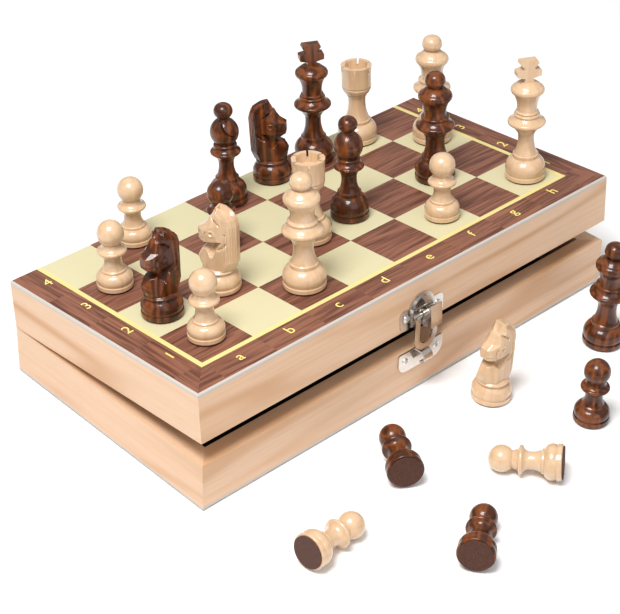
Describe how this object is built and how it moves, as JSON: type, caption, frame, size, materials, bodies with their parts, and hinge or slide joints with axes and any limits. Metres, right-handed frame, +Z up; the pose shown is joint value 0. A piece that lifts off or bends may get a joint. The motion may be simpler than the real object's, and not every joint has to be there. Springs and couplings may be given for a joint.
{
  "type": "folding chess set",
  "caption": "Folding wooden chess board that closes into a box for its turned men, with a toggle latch in front and hinges behind.",
  "frame": {"origin": "middle of the closed tray's underside, on the surface it stands on", "axes": "+Z up, +X along the files from a to h, -Y towards the latch, +Y towards the hinges"},
  "size_m": [0.292, 0.3055, 0.1355],
  "materials": {
    "pine": "lightly sanded pale pine, thin satin lacquer",
    "printed_board": "thin board with a printed playing surface, satin",
    "light_wood": "turned pale wood, clear gloss lacquer",
    "dark_wood": "turned wood, dark brown stain under gloss lacquer",
    "black_felt": "short-haired black felt",
    "nickel": "nickel-plated stamped steel",
    "brass": "brass-plated stamped steel",
    "screw_steel": "zinc-plated steel"
  },
  "bodies": {
    "tray": {"tray_front_wall": "pine", "tray_back_wall": "pine", "tray_left_wall": "pine", "tray_right_wall": "pine", "tray_board_panel": "printed_board", "tray_lining": "black_felt", "left_hinge_tray_leaf": "brass", "right_hinge_tray_leaf": "brass", "hinge_pins": "brass", "tray_screws": "screw_steel", "catch_plate": "nickel"},
    "lid": {"lid_front_wall": "pine", "lid_back_wall": "pine", "lid_left_wall": "pine", "lid_right_wall": "pine", "lid_board_panel": "printed_board", "lid_lining": "black_felt", "left_hinge_lid_leaf": "brass", "right_hinge_lid_leaf": "brass", "lid_screws": "screw_steel", "latch_plate": "nickel", "latch_lever_pin": "nickel"},
    "latch_lever": {"latch_lever": "nickel"},
    "latch_loop_pin": {"latch_loop_pin": "nickel"},
    "latch_loop": {"latch_loop": "nickel"},
    "light_king": {"light_king": "light_wood"},
    "light_queen_1": {"light_queen_1": "light_wood"},
    "light_queen_2": {"light_queen_2": "light_wood"},
    "light_rook_1": {"light_rook_1": "light_wood"},
    "light_rook_2": {"light_rook_2": "light_wood"},
    "light_knight_1": {"light_knight_1": "light_wood"},
    "light_pawn_1": {"light_pawn_1": "light_wood"},
    "light_pawn_2": {"light_pawn_2": "light_wood"},
    "light_pawn_3": {"light_pawn_3": "light_wood"},
    "light_pawn_4": {"light_pawn_4": "light_wood"},
    "dark_king": {"dark_king": "dark_wood"},
    "dark_queen_1": {"dark_queen_1": "dark_wood"},
    "dark_bishop_1": {"dark_bishop_1": "dark_wood"},
    "dark_bishop_2": {"dark_bishop_2": "dark_wood"},
    "dark_knight_1": {"dark_knight_1": "dark_wood"},
    "dark_knight_2": {"dark_knight_2": "dark_wood"},
    "dark_pawn_1": {"dark_pawn_1": "dark_wood"},
    "light_knight_2": {"light_knight_2": "light_wood"},
    "dark_queen_2": {"dark_queen_2": "dark_wood"},
    "dark_pawn_2": {"dark_pawn_2": "dark_wood"},
    "light_pawn_5": {"light_pawn_5": "light_wood"},
    "light_pawn_6": {"light_pawn_6": "light_wood"},
    "dark_pawn_3": {"dark_pawn_3": "dark_wood"},
    "dark_pawn_4": {"dark_pawn_4": "dark_wood"},
    "dark_rook_1": {"dark_rook_1": "dark_wood"},
    "light_bishop_1": {"light_bishop_1": "light_wood"},
    "light_bishop_2": {"light_bishop_2": "light_wood"},
    "light_pawn_7": {"light_pawn_7": "light_wood"},
    "light_pawn_8": {"light_pawn_8": "light_wood"},
    "dark_rook_2": {"dark_rook_2": "dark_wood"},
    "dark_pawn_5": {"dark_pawn_5": "dark_wood"},
    "dark_pawn_6": {"dark_pawn_6": "dark_wood"},
    "dark_pawn_7": {"dark_pawn_7": "dark_wood"},
    "dark_pawn_8": {"dark_pawn_8": "dark_wood"}
  },
  "joints": [
    {"name": "lid_hinge", "type": "hinge", "parent": "tray", "child": "lid", "pos_m": [0, 0.073, 0.028], "axis": [-1, 0, 0], "range_deg": [-5, 174.8]},
    {"name": "lever_turn", "type": "hinge", "parent": "lid", "child": "latch_lever", "pos_m": [0, -0.07794, 0.04669], "axis": [1, 0, 0], "range_deg": [0, 100]},
    {"name": "loop_pin_turn", "type": "hinge", "parent": "latch_lever", "child": "latch_loop_pin", "pos_m": [0, -0.07606, 0.04974], "axis": [1, 0, 0], "range_deg": [-100, 0]},
    {"name": "loop_swing", "type": "hinge", "parent": "latch_loop_pin", "child": "latch_loop", "pos_m": [0, -0.07606, 0.04974], "axis": [-1, 0, 0], "range_deg": [-2, 150]},
    {"name": "light_king_lift", "type": "slide", "parent": "lid", "child": "light_king", "axis": [0, 0.0889, 0.996], "range_m": [0, 0.08]},
    {"name": "light_queen_1_lift", "type": "slide", "parent": "lid", "child": "light_queen_1", "axis": [0, 0.0889, 0.996], "range_m": [0, 0.08]},
    {"name": "light_queen_2_lift", "type": "slide", "parent": "lid", "child": "light_queen_2", "axis": [0, 0.0889, 0.996], "range_m": [0, 0.08]},
    {"name": "light_rook_1_lift", "type": "slide", "parent": "lid", "child": "light_rook_1", "axis": [0, 0.0889, 0.996], "range_m": [0, 0.08]},
    {"name": "light_rook_2_lift", "type": "slide", "parent": "lid", "child": "light_rook_2", "axis": [0, 0.0889, 0.996], "range_m": [0, 0.08]},
    {"name": "light_knight_1_lift", "type": "slide", "parent": "lid", "child": "light_knight_1", "axis": [0, 0.0889, 0.996], "range_m": [0, 0.08]},
    {"name": "light_pawn_1_lift", "type": "slide", "parent": "lid", "child": "light_pawn_1", "axis": [0, 0.0889, 0.996], "range_m": [0, 0.08]},
    {"name": "light_pawn_2_lift", "type": "slide", "parent": "lid", "child": "light_pawn_2", "axis": [0, 0.0889, 0.996], "range_m": [0, 0.08]},
    {"name": "light_pawn_3_lift", "type": "slide", "parent": "lid", "child": "light_pawn_3", "axis": [0, 0.0889, 0.996], "range_m": [0, 0.08]},
    {"name": "light_pawn_4_lift", "type": "slide", "parent": "lid", "child": "light_pawn_4", "axis": [0, 0.0889, 0.996], "range_m": [0, 0.08]},
    {"name": "dark_king_lift", "type": "slide", "parent": "lid", "child": "dark_king", "axis": [0, 0.0889, 0.996], "range_m": [0, 0.08]},
    {"name": "dark_queen_1_lift", "type": "slide", "parent": "lid", "child": "dark_queen_1", "axis": [0, 0.0889, 0.996], "range_m": [0, 0.08]},
    {"name": "dark_bishop_1_lift", "type": "slide", "parent": "lid", "child": "dark_bishop_1", "axis": [0, 0.0889, 0.996], "range_m": [0, 0.08]},
    {"name": "dark_bishop_2_lift", "type": "slide", "parent": "lid", "child": "dark_bishop_2", "axis": [0, 0.0889, 0.996], "range_m": [0, 0.08]},
    {"name": "dark_knight_1_lift", "type": "slide", "parent": "lid", "child": "dark_knight_1", "axis": [0, 0.0889, 0.996], "range_m": [0, 0.08]},
    {"name": "dark_knight_2_lift", "type": "slide", "parent": "lid", "child": "dark_knight_2", "axis": [0, 0.0889, 0.996], "range_m": [0, 0.08]},
    {"name": "dark_pawn_1_lift", "type": "slide", "parent": "lid", "child": "dark_pawn_1", "axis": [0, 0.0889, 0.996], "range_m": [0, 0.08]},
    {"name": "light_knight_2_lift", "type": "slide", "parent": "tray", "child": "light_knight_2", "axis": [0, 0, 1], "range_m": [0, 0.08]},
    {"name": "dark_queen_2_lift", "type": "slide", "parent": "tray", "child": "dark_queen_2", "axis": [0, 0, 1], "range_m": [0, 0.08]},
    {"name": "dark_pawn_2_lift", "type": "slide", "parent": "tray", "child": "dark_pawn_2", "axis": [0, 0, 1], "range_m": [0, 0.08]},
    {"name": "light_pawn_5_lift", "type": "slide", "parent": "tray", "child": "light_pawn_5", "axis": [0, 0, 1], "range_m": [0, 0.08]},
    {"name": "light_pawn_6_lift", "type": "slide", "parent": "tray", "child": "light_pawn_6", "axis": [0, 0, 1], "range_m": [0, 0.08]},
    {"name": "dark_pawn_3_lift", "type": "slide", "parent": "tray", "child": "dark_pawn_3", "axis": [0, 0, 1], "range_m": [0, 0.08]},
    {"name": "dark_pawn_4_lift", "type": "slide", "parent": "tray", "child": "dark_pawn_4", "axis": [0, 0, 1], "range_m": [0, 0.08]},
    {"name": "dark_rook_1_lift", "type": "slide", "parent": "tray", "child": "dark_rook_1", "axis": [0, 0, 1], "range_m": [0, 0.08]},
    {"name": "light_bishop_1_lift", "type": "slide", "parent": "tray", "child": "light_bishop_1", "axis": [0, 0, 1], "range_m": [0, 0.024]},
    {"name": "light_bishop_2_lift", "type": "slide", "parent": "tray", "child": "light_bishop_2", "axis": [0, 0, 1], "range_m": [0, 0.024]},
    {"name": "light_pawn_7_lift", "type": "slide", "parent": "tray", "child": "light_pawn_7", "axis": [0, 0, 1], "range_m": [0, 0.024]},
    {"name": "light_pawn_8_lift", "type": "slide", "parent": "tray", "child": "light_pawn_8", "axis": [0, 0, 1], "range_m": [0, 0.024]},
    {"name": "dark_rook_2_lift", "type": "slide", "parent": "tray", "child": "dark_rook_2", "axis": [0, 0, 1], "range_m": [0, 0.024]},
    {"name": "dark_pawn_5_lift", "type": "slide", "parent": "tray", "child": "dark_pawn_5", "axis": [0, 0, 1], "range_m": [0, 0.024]},
    {"name": "dark_pawn_6_lift", "type": "slide", "parent": "tray", "child": "dark_pawn_6", "axis": [0, 0, 1], "range_m": [0, 0.024]},
    {"name": "dark_pawn_7_lift", "type": "slide", "parent": "tray", "child": "dark_pawn_7", "axis": [0, 0, 1], "range_m": [0, 0.024]},
    {"name": "dark_pawn_8_lift", "type": "slide", "parent": "tray", "child": "dark_pawn_8", "axis": [0, 0, 1], "range_m": [0, 0.024]}
  ],
  "couplings": [
    {"joint": "loop_pin_turn", "follows": "lever_turn", "ratio": -1}
  ]
}
